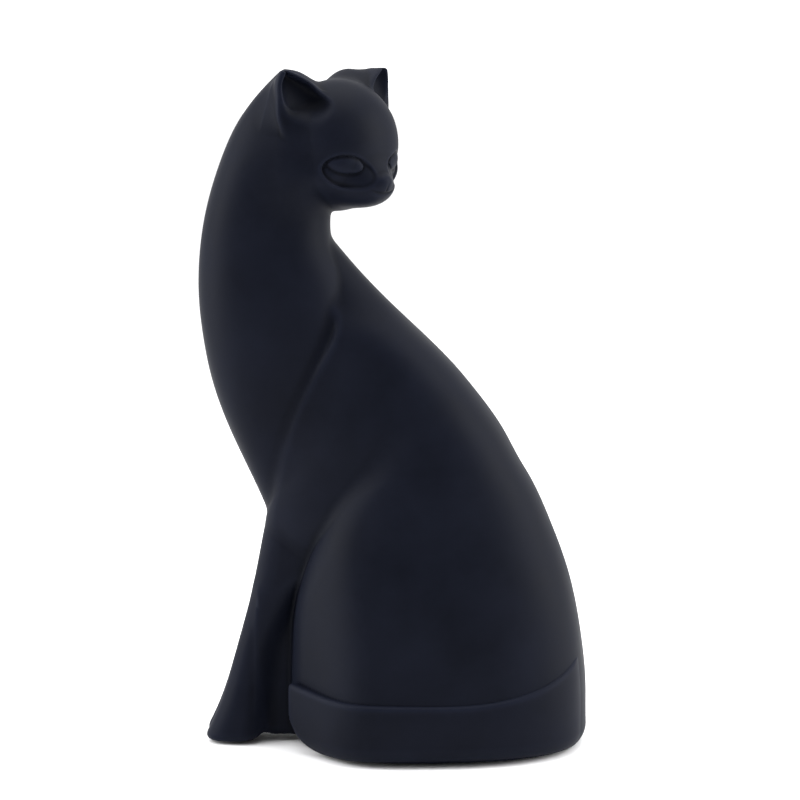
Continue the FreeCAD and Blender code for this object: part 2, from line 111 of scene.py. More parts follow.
def smooth_max(a: Array, b: Array, blend: Array) -> Array:
    """Intersection of two fields, rounded over the blend width."""
    return -smooth_min(-a, -b, blend)


def ease(share: Array) -> Array:
    """A share from 0 to 1 with a level start and end."""
    return share * share * (3.0 - 2.0 * share)


def ellipse_depth(offsets: list, radii: list, power: float = 2.0) -> Array:
    """Distance outside an ellipsoid or, with a higher power, a rounded box, to first order.

    Args:
        offsets: the point's distances from the middle, one array for each direction.
        radii: half sizes in the same directions.
        power: 2 for an ellipsoid, more for squarer corners.

    Returns:
        Millimetres outside, negative within: the level over the steepness of the level.
    """
    scaled = [np.abs(offset) / radius for offset, radius in zip(offsets, radii)]
    level = np.maximum(sum(part ** power for part in scaled), TINY) ** (1.0 / power)
    steep = sum(((part / level) ** (power - 1.0) / radius) ** 2 for part, radius in zip(scaled, radii))
    return (level - 1.0) / np.sqrt(np.maximum(steep, TINY))


# ---------------------------------------------------------------- the sculpted forms
@dataclass(frozen=True)
class BodyForm:
    """Outlines of the body by height in millimetres: fronts and rears are x, half widths are y."""

    chest_front: Profile = Profile(
        (80, -43.5), (90, -47.7), (110, -56.8), (130, -64), (145, -67), (160, -68.5), (175, -68.1),
        (190, -65.8), (210, -59.6), (222, -53.8), (232, -46), (240, -38))
    chest_rear: Profile = Profile(
        (80, -20), (120, -14), (150, -13), (162, -14.5), (170, -17), (178, -20.7), (190, -21.5),
        (205, -19))
    chest_half_width: Profile = Profile(
        (80, 9), (95, 14), (120, 20.5), (145, 23.5), (170, 22.5), (190, 20.5), (205, 20), (215, 18.4),
        (225, 15.6), (235, 13))
    chest_power: float = 2.5  # how square the bib's section is
    leg_front: Profile = Profile(
        (0, -68), (10, -63.4), (30, -57.1), (50, -51.6), (70, -47.1), (84, -43.9), (100, -38.3), (122, -30.4),
        (143, -21.6), (154, -18.7), (170, -17), (190, -26))
    leg_rear: Profile = Profile(
        (0, -48.1), (20, -46.4), (38, -42.6), (50, -36.3), (57, -31), (66, -18), (80, -6), (100, -6))
    leg_half_width: Profile = Profile(
        (0, 13), (8, 12.7), (20, 11.6), (45, 11.2), (62, 11.8), (84, 13.2), (100, 10), (120, 1))
    leg_taper: float = 0.1  # the legs are wider behind than in front
    leg_end_blend: float = 6.0
    leg_flank_blend: float = 8.0
    leg_top: float = 100.0  # the legs sink into the breast above here
    leg_sinking: float = 0.5
    paw_edge: float = 3.0  # softened edge round the paws
    torso_middle: Profile = Profile(
        (70, 14), (100, 14), (120, 8), (140, -5), (160, -24), (180, -38), (190, -40))
    torso_front: Profile = Profile((70, -48.5), (84, -48.8), (100, -46), (140, -47.5), (190, -56))
    torso_rear: Profile = Profile(
        (70, 50), (84, 49.5), (100, 43.6), (110, 39.8), (120, 33.9), (135, 22.2), (150, 7.1), (160, -3.2),
        (170, -12.6), (178, -19.4), (184, -24.5), (190, -30))
    torso_half_width: Profile = Profile(
        (70, 26), (84, 28), (100, 29), (110, 29), (120, 27.9), (140, 24.6), (150, 21.8), (157, 17.8),
        (165, 15.2), (172, 14.2), (178, 13.6), (187, 12))
    torso_power: float = 2.3
    torso_cut: Profile = Profile(
        (70, -47.1), (84, -43.9), (100, -38.3), (122, -30.4), (143, -21.6), (152, -19), (158, -21),
        (165, -28), (180, -42))
    torso_corner: Profile = Profile((70, 5), (92, 2), (150, 1.8), (190, 3))
    torso_span: tuple = (70.0, 190.0)  # heights that the torso's outlines are drawn for
    torso_top: float = 188.0
    arris_foot: float = 84.0  # below here the torso's front is the legs' front
    haunch_front: Profile = Profile(
        (0, -35.3), (21, -35.9), (36, -35.5), (50, -34.2), (60, -31.8), (69, -28.8), (79, -25.4), (91, -20.5),
        (100, -13.5), (111, -3), (120, 3), (134, 8))
    haunch_rear: Profile = Profile(
        (0, 70.4), (10, 70.1), (20, 70), (40, 67.9), (60, 63.7), (80, 56.4), (95, 49.3), (106, 41.5),
        (118, 30), (134, 12))
    haunch_half_width: Profile = Profile(
        (0, 44.6), (12, 46), (25, 45.6), (45, 43.5), (60, 41.4), (80, 37.4), (94, 34.6), (106, 31.4),
        (118, 25), (134, 8))
    haunch_facet: Profile = Profile(
        (0, -20), (45, -21), (60, -22.5), (74, -23.5), (84, -21), (92, -17), (100, -11), (111, -2),
        (125, 4))
    haunch_power: float = 2.5
    haunch_top: float = 130.0  # the haunches close above here
    haunch_lean: float = 0.10  # their widest place is this share of their length before the middle
    haunch_nose: float = 1.16  # the egg runs on this much past the cut in front
    facet_way: tuple = (-0.79, 0.61)  # the way the facet looks: x and out
    facet_out: float = 0.82  # the facet's line, as a share of the half width
    facet_blend: float = 5.0
    haunch_blend: float = 6.0
    crease_blend: Profile = Profile(
        (0, 2), (86, 2), (98, 5), (142, 6), (152, 5), (160, 2), (166, 1), (178, 1), (190, 2))
    crease_least: float = 0.8
    flank_blend: Profile = Profile((0, 2), (84, 2.5), (96, 3.5), (108, 7), (118, 10), (134, 10))
    flank_least: float = 2.0
    breast_blend: float = 2.0  # torso into legs
    belly_start: float = 86.0  # the belly draws in below this height
    belly_rate: float = 0.020
    bib_foot: float = 80.0  # height where the bib meets the forelegs
    bib_closing: float = 0.8
    nape_start: float = 200.0  # the nape starts to close above this height
    nape_top: float = 240.0
    nape_power: float = 2.2
    nape_least: float = 0.0004
    nape_blend: float = 2.0
    nape_lean_from: float = 212.0  # above here the nape leans over to the near ear
    nape_lean: float = 0.009
    base_edge: float = 6.0  # softened edge round the haunches' base
    base_share: float = 0.45  # how far that edge draws in, for each millimetre of its height
    base_blend: float = 0.6
    web_at: float = -37.0  # panel of clay between forelegs and haunches
    web_reach: float = 8.0
    web_half: float = 8.0
    web_foot: float = 1.0
    web_top: float = 54.0
    web_edge: float = 4.0
    web_blend: float = 6.0
    groove_depth: float = 3.0  # between the forelegs
    groove_width: float = 3.2
    groove_top: float = 76.0  # it runs out between here
    groove_fade: float = 26.0  # and this far below
    groove_foot: float = 6.0  # and it grows shallower over this height at the paws
    groove_floor: float = 0.2
    opening_at: float = 16.0  # pour opening in the base
    opening_radius: float = 19.3
    opening_depth: float = 5.0
    opening_edge: float = 0.8

    def base_inset(self, z: Array, radius: float) -> Array:
        """How far a softened lower edge draws the outline in at a height."""
        return self.base_share * radius * np.maximum(1.0 - z / radius, 0.0) ** 2

    def chest(self, x: Array, y: Array, z: Array) -> Array:
        """Bib, neck and nape: a barrel over the forelegs that closes as a dome behind the head."""
        level = np.clip(z, self.bib_foot, self.nape_top)
        rise = np.clip((level - self.nape_start) / (self.nape_top - self.nape_start), 0.0, 1.0)
        closing = np.sqrt(np.maximum(1.0 - rise ** self.nape_power, self.nape_least))
        front, rear = self.chest_front(level), self.chest_rear(level)
        reach = 0.5 * (rear - front) * closing
        half = self.chest_half_width(level) * closing
        aside = y + self.nape_lean * np.maximum(level - self.nape_lean_from, 0.0) ** 2
        barrel = ellipse_depth([x - front - reach, aside], [reach, half], self.chest_power)
        barrel = barrel + self.bib_closing * np.maximum(self.bib_foot - z, 0.0)
        return smooth_max(barrel, z - self.nape_top, self.nape_blend)

    def arris(self, x: Array, y: Array, z: Array) -> Array:
        """The front that legs and torso share, with the groove between the forelegs."""
        fade = np.clip((self.groove_top - z) / self.groove_fade, 0.0, 1.0)
        fade = fade * np.clip(z / self.groove_foot + self.groove_floor, 0.0, 1.0)
        groove = self.groove_depth * np.exp(-((y / self.groove_width) ** 2)) * fade
        return self.leg_front(z) + groove - x

    def legs(self, x: Array, y: Array, z: Array) -> Array:
        """Both forelegs as one slab that runs up into the breast."""
        flank = np.abs(y) - self.leg_half_width(z) - self.leg_taper * (x - self.leg_front(z))
        ends = smooth_max(self.arris(x, y, z), x - self.leg_rear(z), self.leg_end_blend)
        slab = smooth_max(flank, ends, self.leg_flank_blend) + self.base_inset(z, self.paw_edge)
        return slab + self.leg_sinking * np.maximum(z - self.leg_top, 0.0)

    def torso(self, x: Array, y: Array, z: Array) -> Array:
        """Shoulders and back: an egg cut off in front along the crisp arris of the breast."""
        level = np.clip(z, *self.torso_span)
        middle, front, rear = self.torso_middle(level), self.torso_front(level), self.torso_rear(level)
        reach = np.where(x > middle, rear - middle, middle - front)
        egg = ellipse_depth([x - middle, y], [reach, self.torso_half_width(level)], self.torso_power)
        belly = self.belly_rate * np.maximum(self.belly_start - z, 0.0) ** 2
        cut = np.where(z > self.arris_foot, self.torso_cut(level) - x, self.arris(x, y, z))
        return smooth_max(egg, cut, self.torso_corner(level)) + belly + np.maximum(z - self.torso_top, 0.0)

    def haunches(self, x: Array, y: Array, z: Array) -> Array:
        """The haunches: a broad egg cut by a facet towards the forelegs, sinking into the torso above."""
        level = np.minimum(z, self.haunch_top)
        front, rear, half = self.haunch_front(level), self.haunch_rear(level), self.haunch_half_width(level)
        middle = 0.5 * (rear + front) - self.haunch_lean * (rear - front)
        before = np.maximum(middle - front, 1.0) * self.haunch_nose
        reach = np.where(x > middle, rear - middle, before)
        egg = ellipse_depth([x - middle, y], [reach, half], self.haunch_power)
        along, out = self.facet_way
        facet = along * (x - self.haunch_facet(level)) + out * (np.abs(y) - self.facet_out * half)
        cut = smooth_max(front - x, facet, self.facet_blend)
        return smooth_max(egg, cut, self.haunch_blend) + self.base_inset(z, self.base_edge) + (z - level)

    def web(self, x: Array, y: Array, z: Array) -> Array:
        """The panel of clay that closes the gap between forelegs and haunches."""
        wall = np.maximum(np.abs(x - self.web_at) - self.web_reach, np.abs(y) - self.web_half)
        return smooth_max(wall, np.maximum(self.web_foot - z, z - self.web_top), self.web_edge)

    def __call__(self, x: Array, y: Array, z: Array) -> Array:
        """Depth in millimetres outside the whole body."""
        rear = smooth_min(self.torso(x, y, z), self.legs(x, y, z), self.breast_blend)
        front = smooth_min(self.chest(x, y, z), rear, np.maximum(self.crease_blend(z), self.crease_least))
        front = smooth_min(front, self.web(x, y, z), self.web_blend)
        shape = smooth_min(front, self.haunches(x, y, z), np.maximum(self.flank_blend(z), self.flank_least))
        shape = smooth_max(shape, -z, self.base_blend)
        opening = np.maximum(np.hypot(x - self.opening_at, y) - self.opening_radius, z - self.opening_depth)
        return smooth_max(shape, -opening, self.opening_edge)


@dataclass(frozen=True)
class HeadForm:
    """The head, turned over the left flank.

    Places are (forward, aside, up) in millimetres: two from the head's axis, the last from the base.
    """

    body: BodyForm
    turn: float = math.radians(47.0)
    axis: tuple = (-20.7, 0.0)
    roll: float = 0.03  # the far ear stands a little higher
    skull: tuple = ((1.5, 0.0, 213.2), (21.0, 23.0, 23.2))
    cheek: tuple = ((6.0, 0.0, 203.8), (13.5, 22.0, 9.6))
    cheek_blend: float = 4.0
    crown: tuple = ((-5.0, -13.0, 224.0), (11.0, 12.0, 15.3))  # runs up into the far ear's root
    crown_blend: float = 5.0
    muzzle: tuple = ((16.2, 0.0, 199.8), (9.8, 10.2, 7.6))
    muzzle_blend: float = 5.0
    nose: tuple = ((24.6, 0.0, 201.2), (2.3, 3.0, 2.2))
    nose_blend: float = 2.0
    lid_at: tuple = (11.2, 205.2)  # middle of the recess round each eye: aside, up
    lid_size: tuple = (7.8, 5.2)
    lid_power: float = 2.2
    lid_tilt: float = math.radians(19.0)  # its outer corner stands higher
    lid_depth: float = 1.0
    lid_edge: float = 1.3
    lid_fade: float = 7.5  # it runs out towards the nose over this length
    lid_inner: float = 0.25  # to this share of its depth
    eye_at: tuple = (1.5, 2.1)  # middle of the eyeball within the recess
    eye_size: tuple = (5.4, 3.0)
    eye_tilt: float = math.radians(-9.0)  # against the recess
    eye_proud: float = 1.4
    mouth_from: float = 12.0  # forward of here
    mouth_at: float = 197.4
    mouth_depth: float = 0.3
    mouth_curl: float = 0.035  # rise of its ends
    mouth_line: float = 0.45
    mouth_fade: float = 3.4  # it runs out between this far aside and twice as far
    cleft_line: float = 0.4  # the short line under the nose
    cleft_end: float = 0.6
    cleft_top: float = 201.0
    ear_turn: float = math.radians(20.0)  # each ear looks this much outwards
    ear_at: tuple = (3.3, 18.0)  # middle of the ears' feet: forward, aside
    ear_span: tuple = (180.0, 243.0)  # heights that the ears' outlines are read for
    ear_foot: float = 210.0
    ear_top: float = 239.9
    ear_top_blend: float = 1.2
    ear_least: float = 0.8
    ear_power: float = 2.2
    ear_out: Profile = Profile(
        (208, -6), (214, -3), (220, -0.6), (225, 0.2), (230, 0.6), (233, 1.8), (236, 3.5), (238, 4.9),
        (240.6, 7.2))
    ear_half_width: Profile = Profile(
        (208, 6), (214, 7.6), (220, 9.4), (225, 10), (230, 9.6), (233, 8.4), (236, 6.6), (238, 4.7),
        (240.6, 1.3))
    ear_rear: Profile = Profile(
        (208, 12), (222, 12.5), (229, 11), (234, 9), (237, 6.8), (239, 4.4), (240.6, 2.4))
    ear_front: Profile = Profile((208, 4), (229, 2.6), (237, 2), (240.6, 1.2))
    ear_blend: tuple = (2.0, 7.0)  # crisp in front, soft behind
    ear_blend_rise: float = 0.8
    cup_out: Profile = Profile(
        (218, 4.4), (221, 3.9), (224, 2.6), (227, 1.2), (230, 0.9), (233, 2), (236, 3.7), (239.4, 6.3))
    cup_half_width: Profile = Profile(
        (218, 3.6), (221, 4.4), (224, 5.8), (227, 7.4), (230, 8), (233, 7), (236, 5), (239.4, 0.8))
    cup_at: Profile = Profile(
        (218, 20), (221, 15.4), (224, 10.6), (227, 6.8), (230, 4.9), (236, 3.4), (240, 3.4))
    cup_half_depth: float = 6.8
    cup_least: float = 0.4
    cup_foot: float = 218.0
    cup_foot_blend: float = 2.0
    cup_blend: tuple = (1.0, 4.0)  # crisp at the tip, soft on the temple
    cup_blend_from: float = 231.0
    cup_blend_rise: float = 0.3
    melt_from: float = -18.0  # the head melts into the nape behind this x
    melt_length: float = 22.0
    melt_blend: tuple = (1.2, 12.8)  # blend in front, and how much more there is behind

    def place(self, x: Array, y: Array, z: Array) -> tuple:
        """The point as the head sees it: forward, aside (towards the ear over the left flank), up."""
        east, north = x - self.axis[0], y - self.axis[1]
        s, c = math.sin(self.turn), math.cos(self.turn)
        aside = -east * c - north * s
        return east * s - north * c, aside, z + self.roll * aside

    @staticmethod
    def lump(place: tuple, shape: tuple) -> Array:
        """An ellipsoid given by its middle and half sizes."""
        middle, radii = shape
        return ellipse_depth([p - m for p, m in zip(place, middle)], list(radii))

    def ear_place(self, place: tuple) -> tuple:
        """The point as either ear sees it, looking a little outwards: ahead, out, up."""
        forward, aside, up = place
        s, c = math.sin(self.ear_turn), math.cos(self.ear_turn)
        ahead, out = forward - self.ear_at[0], np.abs(aside) - self.ear_at[1]
        return ahead * c + out * s, out * c - ahead * s, np.clip(up, *self.ear_span)

    def ears(self, place: tuple, z: Array) -> Array:
        """Both ears as leaves standing on the skull, thick behind and thin in front."""
        ahead, out, up = self.ear_place(place)
        deep = np.maximum(np.where(ahead > 0.0, self.ear_front(up), self.ear_rear(up)), self.ear_least)
        wide = np.maximum(self.ear_half_width(up), self.ear_least)
        leaf = ellipse_depth([ahead, out - self.ear_out(up)], [deep, wide], self.ear_power)
        leaf = leaf + np.maximum(self.ear_foot - up, 0.0)
        return smooth_max(leaf, z - self.ear_top, self.ear_top_blend)

    def cups(self, place: tuple) -> Array:
        """The dishes that hollow both ears from the front and run out on the temples."""
        ahead, out, up = self.ear_place(place)
        radii = [self.cup_half_depth, np.maximum(self.cup_half_width(up), self.cup_least)]
        dish = ellipse_depth([ahead - self.cup_at(up), out - self.cup_out(up)], radii, self.ear_power)
        return smooth_max(dish, self.cup_foot - up, self.cup_foot_blend)

    def eye_relief(self, place: tuple) -> Array:
        """How far the face is drawn in round the eyes, in millimetres, with the eyeballs rising in it."""
        forward, aside, up = place
        s, c = math.sin(self.lid_tilt), math.cos(self.lid_tilt)
        out, rise = np.abs(aside) - self.lid_at[0], up - self.lid_at[1]
        along, across = out * c + rise * s, rise * c - out * s
        rim = ellipse_depth([along, across], list(self.lid_size), self.lid_power)
        inside = np.clip(0.5 - rim / self.lid_edge, 0.0, 1.0)
        fade = np.clip((along + self.lid_size[0]) / self.lid_fade, 0.0, 1.0)
        recess = self.lid_depth * ease(inside) * (self.lid_inner + (1.0 - self.lid_inner) * fade)
        s, c = math.sin(self.eye_tilt), math.cos(self.eye_tilt)
        along, across = along - self.eye_at[0], across - self.eye_at[1]
        spot = ((along * c + across * s) / self.eye_size[0]) ** 2
        spot = spot + ((across * c - along * s) / self.eye_size[1]) ** 2
        ball = self.eye_proud * np.sqrt(np.maximum(1.0 - spot, 0.0))
        return np.where(forward > 0.0, recess - ball, 0.0)

    def mouth_relief(self, place: tuple) -> Array:
        """The line of the mouth and the short line under the nose."""
        forward, aside, up = place
        above = up - self.mouth_at
        smile = np.exp(-(((above - self.mouth_curl * aside ** 2) / self.mouth_line) ** 2))
        smile = smile * np.clip(2.0 - np.abs(aside) / self.mouth_fade, 0.0, 1.0)
        cleft = np.exp(-((aside / self.cleft_line) ** 2)) * np.clip(above / self.cleft_end, 0.0, 1.0)
        cleft = cleft * np.clip((self.cleft_top - up) / self.cleft_end, 0.0, 1.0)
        return np.where(forward > self.mouth_from, self.mouth_depth * np.maximum(smile, cleft), 0.0)

    def face(self, place: tuple) -> Array:
        """Skull, cheeks and muzzle with the eyes, nose and mouth."""
        face = smooth_min(self.lump(place, self.skull), self.lump(place, self.cheek), self.cheek_blend)
        face = smooth_min(face, self.lump(place, self.crown), self.crown_blend)
        face = smooth_min(face, self.lump(place, self.muzzle), self.muzzle_blend)
        face = face + self.eye_relief(place) + self.mouth_relief(place)
        return smooth_min(face, self.lump(place, self.nose), self.nose_blend)

    def __call__(self, x: Array, y: Array, z: Array) -> Array:
        """Depth in millimetres outside head, nape and what the body reaches up with."""
        place = self.place(x, y, z)
        melt = ease(np.clip((self.melt_from - x) / self.melt_length, 0.0, 1.0))
        soft = self.melt_blend[0] + self.melt_blend[1] * melt
        head = smooth_min(self.face(place), self.body(x, y, z), soft)
        ahead, _, up = self.ear_place(place)
        joint = np.clip(self.ear_blend[0] - self.ear_blend_rise * ahead, *self.ear_blend)
        head = smooth_min(head, self.ears(place, z), joint)
        rim = self.cup_blend[0] + self.cup_blend_rise * (self.cup_blend_from - up)
        return smooth_max(head, -self.cups(place), np.clip(rim, *self.cup_blend))


class Form:
    """A sculpted field of depth in millimetres."""

    def __call__(self, points: Array) -> Array:
        """Depth in millimetres at each point of an (n, 3) array."""
        raise NotImplementedError

    def slope(self, points: Array) -> Array:
        """The field's gradient by central differences."""
        steps = np.eye(3) * SLOPE_REACH
        return np.stack([(self(points + s) - self(points - s)) / (2.0 * SLOPE_REACH) for s in steps], axis=1)


@dataclass(frozen=True)
class FigureForm(Form):
    """Head and body as one field, so that the seam between their castings can't be seen."""

    body: BodyForm
    head: HeadForm
    jaw_reach: float = 170.0  # the head's shapes have no effect below this height

    def __call__(self, points: Array) -> Array:
        """Depth in millimetres at each point of an (n, 3) array."""
        x, y, z = points.T
        out = np.empty(len(points))
        low = z < self.jaw_reach
        high = ~low
        out[low] = self.body(x[low], y[low], z[low])
        out[high] = self.head(x[high], y[high], z[high])
        return out


@dataclass(frozen=True)
class TailForm(Form):
    """The tail: a low band laid round the haunch, with a pointed tip standing proud behind the paws.

    Its stations are shares of the way from the tip to the root, measured as an angle about an upright axis.
    """

    body: BodyForm
    axis_at: float = 16.0
    tip_angle: float = 201.0
    root_angle: float = 346.0
    girth: float = 129.0  # length of the band
    top: Profile = Profile((0.0, 24.0), (0.12, 22.5), (0.4, 21.5), (0.66, 22.5), (0.82, 27.0), (1.0, 37.0))
    foot: Profile = Profile((0.0, 12.0), (0.03, 6.0), (0.07, 1.5), (0.11, 0.0), (0.2, 0.0), (1.0, 0.0))
    relief: Profile = Profile((0.0, 3.7), (0.2, 2.3), (0.45, 1.4), (0.85, 1.0), (0.93, 0.4), (1.0, -0.8))
    bed_depth: float = 2.0
    bed_edge: float = 0.6
    edge: float = 1.8
    past_ends: tuple = (-0.02, 1.02)  # the stations are read this far past the ends

    def __call__(self, points: Array) -> Array:
        """Depth in millimetres at each point of an (n, 3) array."""
        x, y, z = points.T
        angle = np.mod(np.degrees(np.arctan2(y, x - self.axis_at)), 360.0)
        share = (angle - self.tip_angle) / (self.root_angle - self.tip_angle)
        near = np.clip(share, *self.past_ends)
        haunch = self.body.haunches(x, y, np.maximum(z, 0.0))
        band = smooth_max(haunch - self.relief(near), z - self.top(near), self.edge)
        band = smooth_max(band, np.maximum(self.foot(near), 0.0) - z, self.edge)
        ends = np.maximum(-share, share - 1.0) * self.girth
        band = smooth_max(band, ends, self.edge)
        return smooth_max(band, -haunch - self.bed_depth, self.bed_edge)


# ---------------------------------------------------------------- from a form to a mesh
@dataclass(frozen=True)
class LevelMesher:
    """Turns a field's zero into a mesh of quads: one vertex in each grid cell that it crosses."""

    form: Form
    cell: float
    low: tuple
    high: tuple
    settling_rounds: int = 4
    least_slope: float = 0.04  # squared, so that flat spots don't throw a point away

    def samples(self) -> Array:
        """Evaluate the field on the grid, slice by slice."""
        axes = [np.arange(a, b + self.cell, self.cell) for a, b in zip(self.low, self.high)]
        flat_y, flat_z = (part.ravel() for part in np.meshgrid(axes[1], axes[2], indexing="ij"))
        values = np.empty([len(axis) for axis in axes])
        for i, x in enumerate(axes[0]):
            plane = np.stack([np.full_like(flat_y, x), flat_y, flat_z], axis=1)
            values[i] = self.form(plane).reshape(values.shape[1:])
        return values

    @staticmethod
    def crossings(value: Array) -> tuple[Array, Array]:
        """Gather, for each grid cell, the places where its edges cross the surface.

        Args:
            value: the field at the grid's corners.

        Returns:
            The sum of the places, in cells from the cell's low corner, and how many there are.
        """
        cells = tuple(n - 1 for n in value.shape)
        total, hits = np.zeros(cells + (3,)), np.zeros(cells)
        for axis in range(3):
            one, two = (a for a in range(3) if a != axis)
            near = np.take(value, range(cells[axis]), axis=axis)
            far = np.take(value, range(1, cells[axis] + 1), axis=axis)
            crossed = (near < 0.0) != (far < 0.0)
            share = np.where(crossed, near / np.where(crossed, near - far, 1.0), 0.0)
            for du, dv in ((0, 0), (0, 1), (1, 0), (1, 1)):
                window = [slice(None)] * 3
                window[one] = slice(du, du + cells[one])
                window[two] = slice(dv, dv + cells[two])
                cut = crossed[tuple(window)]
                total[..., axis] += np.where(cut, share[tuple(window)], 0.0)
                total[..., one] += cut * float(du)
                total[..., two] += cut * float(dv)
                hits += cut
        return total, hits

    @staticmethod
    def quads(inside: Array, number: Array) -> Array:
        """Join the four cells round every grid edge that crosses the surface.

        Args:
            inside: whether each grid corner is in the clay.
            number: each cell's vertex.

        Returns:
            Quads (m, 4), wound so that the normals point out of the clay.
        """
        cells, found = number.shape, []
        for axis in range(3):
            u, v = (axis + 1) % 3, (axis + 2) % 3
            window = [slice(None)] * 3
            window[axis] = slice(0, cells[axis])
            near = inside[tuple(window)]
            window[axis] = slice(1, cells[axis] + 1)
            edges = np.argwhere(near != inside[tuple(window)])
            edges = edges[(edges[:, u] > 0) & (edges[:, v] > 0)]
            edges = edges[(edges[:, u] < cells[u]) & (edges[:, v] < cells[v])]
            around = []
            for du, dv in ((-1, -1), (0, -1), (0, 0), (-1, 0)):
                cell = edges.copy()
                cell[:, u] += du
                cell[:, v] += dv
                around.append(number[tuple(cell.T)])
            ring = np.stack(around, axis=1)
            found.append(np.where(near[tuple(edges.T)][:, None], ring, ring[:, ::-1]))
        return np.concatenate(found)

    def build(self) -> tuple[Array, Array]:
        """Place the vertices, join them into quads and settle them on the surface.

        Returns:
            Vertices (n, 3) in millimetres and quads (m, 4).
        """
        value = self.samples()
        total, hits = self.crossings(value)
        used = hits > 0
        number = np.full(used.shape, -1)
        number[used] = np.arange(used.sum())
        points = (np.argwhere(used) + total[used] / hits[used][:, None]) * self.cell + np.array(self.low)
        return self.settle(points), self.quads(value < 0.0, number)

    def settle(self, points: Array) -> Array:
        """Move points down the field's slope onto its zero, half a cell at most in each round."""
        for _ in range(self.settling_rounds):
            slope = self.form.slope(points)
            size = np.maximum((slope ** 2).sum(axis=1), self.least_slope)
            step = (self.form(points) / size)[:, None] * slope
            length = np.linalg.norm(step, axis=1, keepdims=True)
            points = points - step * np.minimum(1.0, 0.5 * self.cell / np.maximum(length, TINY))
        return points


def to_frame(points: Array) -> Array:
    """Drawn millimetres to the frame's metres, standing on the pads."""
    return (points + FRAME_SHIFT) * MM


def from_frame(points: Array) -> Array:
    """The frame's metres back to drawn millimetres."""
    return points / MM - FRAME_SHIFT


def add_object(name: str, data: ID) -> Object:
    """Link a mesh, light or camera to the scene as an object at the origin."""
    thing = bpy.data.objects.new(name, data)
    bpy.context.scene.collection.objects.link(thing)
    return thing


def mesh_from(name: str, points: Array, faces: list) -> Mesh:
    """Make a smooth-shaded mesh from points in the frame's metres."""
    mesh = bpy.data.meshes.new(name)
    mesh.from_pydata(points, [], faces)
    mesh.validate()
    mesh.shade_smooth()
    return mesh


def cut_level(mesh: Mesh, height: float, keep_above: bool) -> None:
    """Cut a mesh at a level plane and keep one side, open at the cut."""
    work = bmesh.new()
    work.from_mesh(mesh)
    geometry = work.verts[:] + work.edges[:] + work.faces[:]
    bmesh.ops.bisect_plane(work, geom=geometry, plane_co=(0.0, 0.0, height), plane_no=(0.0, 0.0, 1.0),
                           clear_inner=keep_above, clear_outer=not keep_above)
    work.to_mesh(mesh)
    work.free()


def read_points(mesh: Mesh) -> Array:
    """A mesh's vertices as an (n, 3) array."""
    flat = np.empty(len(mesh.vertices) * 3)
    mesh.vertices.foreach_get("co", flat)
    return flat.reshape(-1, 3)


def set_form_normals(mesh: Mesh, form: Form) -> None:
    """Give the mesh the field's own normals, so its facets and its cut edges don't show."""
    slope = form.slope(from_frame(read_points(mesh)))
    normals = slope / np.maximum(np.linalg.norm(slope, axis=1, keepdims=True), TINY)
    mesh.normals_split_custom_set_from_vertices(normals)


# ---------------------------------------------------------------- finishes
def srgb(code: str) -> tuple[float, float, float, float]:
    """A hex colour code as linear red, green, blue and alpha."""
    channels = [int(code[i:i + 2], 16) / 255.0 for i in (0, 2, 4)]
    linear = [c / 12.92 if c <= 0.04045 else ((c + 0.055) / 1.055) ** 2.4 for c in channels]
    return (*linear, 1.0)


class Socket(Enum):
    """Shader sockets that the finishes set, by their names."""

    COLOUR = "Base Color"
    ROUGHNESS = "Roughness"
    IOR = "IOR"
    GLEAM = "Specular IOR Level"
    SHEEN = "Sheen Weight"
    SHEEN_ROUGHNESS = "Sheen Roughness"
    NORMAL = "Normal"


class Graph:
    """A material's node tree with one way to add a node."""

    def __init__(self, name: str) -> None:
        """Start an empty material with its shader and output."""
        self.material = bpy.data.materials.new(name)
        self.material.use_nodes = True
        self.tree = self.material.node_tree
        self.tree.nodes.clear()
        self.shader = self.add("ShaderNodeBsdfPrincipled")
        output = self.add("ShaderNodeOutputMaterial")
        self.tree.links.new(self.shader.outputs[0], output.inputs["Surface"])

    def add(self, kind: str, links: dict | None = None, **settings: object) -> Node:
        """Add a node.

        Args:
            kind: Blender's node type.
            links: input name or number to an output socket or a value.
            settings: node properties to set.
        """
        node = self.tree.nodes.new(kind)
        for key, value in settings.items():
            setattr(node, key, value)
        for key, value in (links or {}).items():
            if isinstance(value, NodeSocket):
                self.tree.links.new(value, node.inputs[key])
            else:
                node.inputs[key].default_value = value
        return node

    def shade(self, socket: Socket, value: object) -> None:
        """Set or link a socket of the shader."""
        if isinstance(value, NodeSocket):
            self.tree.links.new(value, self.shader.inputs[socket.value])
        else:
            self.shader.inputs[socket.value].default_value = value

    def noise(self, vector: NodeSocket, size_mm: float, detail: float) -> NodeSocket:
        """A noise whose blotches are about this wide."""
        links = {"Vector": vector, "Scale": 1.0 / (size_mm * MM), "Detail": detail, "Roughness": 0.55}
        return self.add("ShaderNodeTexNoise", links).outputs["Fac"]

    def spread(self, value: NodeSocket, source: tuple, target: tuple) -> NodeSocket:
        """Map a range of values to another, clamped."""
        links = {"Value": value, "From Min": source[0], "From Max": source[1], "To Min": target[0],
                 "To Max": target[1]}
        return self.add("ShaderNodeMapRange", links).outputs["Result"]

    def mix(self, share: NodeSocket, low: str, high: str) -> NodeSocket:
        """Blend two hex colours."""
        node = self.add("ShaderNodeMix", {0: share}, data_type="RGBA")
        node.inputs[6].default_value = srgb(low)
        node.inputs[7].default_value = srgb(high)
        return node.outputs[2]

    def bump(self, height: NodeSocket, rise_mm: float, strength: float,
             under: NodeSocket | None = None) -> NodeSocket:
        """Raise the surface by a height, over another bump if there is one."""
        links = {"Height": height, "Distance": rise_mm * MM, "Strength": strength}
        if under is not None:
            links["Normal"] = under
        return self.add("ShaderNodeBump", links).outputs[0]


